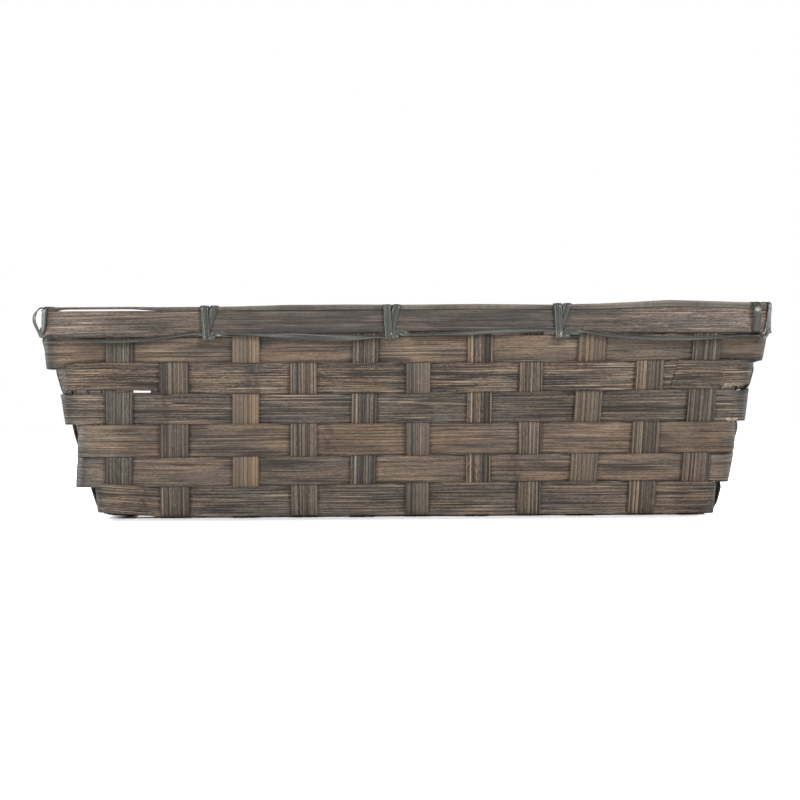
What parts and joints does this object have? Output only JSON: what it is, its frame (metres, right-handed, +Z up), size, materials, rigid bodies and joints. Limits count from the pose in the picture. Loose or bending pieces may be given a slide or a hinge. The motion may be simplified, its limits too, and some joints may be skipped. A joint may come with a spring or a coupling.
{
  "type": "woven bamboo tray",
  "caption": "Rectangular open tray woven from flat bamboo strips, with sloping walls, an open plain-weave base and a lashed double-hoop rim.",
  "frame": {"origin": "on the floor, under the middle of the base", "axes": "+X along the tray's length, +Y from the front wall to the back wall, +Z up"},
  "size_m": [0.3836, 0.2736, 0.1108],
  "materials": {
    "stake_bamboo": "matt split bamboo, weathered grey-brown",
    "weaver_bamboo": "matt split bamboo, grey-brown with dark lengthwise lines",
    "rim_bamboo": "satin split bamboo, dark grey-brown with reddish marks",
    "cap_bark": "satin bamboo skin, grey-green",
    "lash_bark": "satin bamboo skin, grey-green"
  },
  "bodies": {
    "root": {"cross_stake_01": "stake_bamboo", "cross_stake_02": "stake_bamboo", "cross_stake_03": "stake_bamboo", "cross_stake_04": "stake_bamboo", "cross_stake_05": "stake_bamboo", "cross_stake_06": "stake_bamboo", "cross_stake_07": "stake_bamboo", "cross_stake_08": "stake_bamboo", "cross_stake_09": "stake_bamboo", "cross_stake_10": "stake_bamboo", "cross_stake_11": "stake_bamboo", "long_stake_1": "stake_bamboo", "long_stake_2": "stake_bamboo", "long_stake_3": "stake_bamboo", "long_stake_4": "stake_bamboo", "long_stake_5": "stake_bamboo", "long_stake_6": "stake_bamboo", "long_stake_7": "stake_bamboo", "weaver_1": "weaver_bamboo", "weaver_2": "weaver_bamboo", "weaver_3": "weaver_bamboo", "weaver_4": "weaver_bamboo", "weaver_5": "weaver_bamboo", "weaver_6": "weaver_bamboo", "outer_rim_hoop": "rim_bamboo", "inner_rim_hoop": "rim_bamboo", "rim_cap": "cap_bark", "rim_lashing": "lash_bark"}
  },
  "joints": []
}
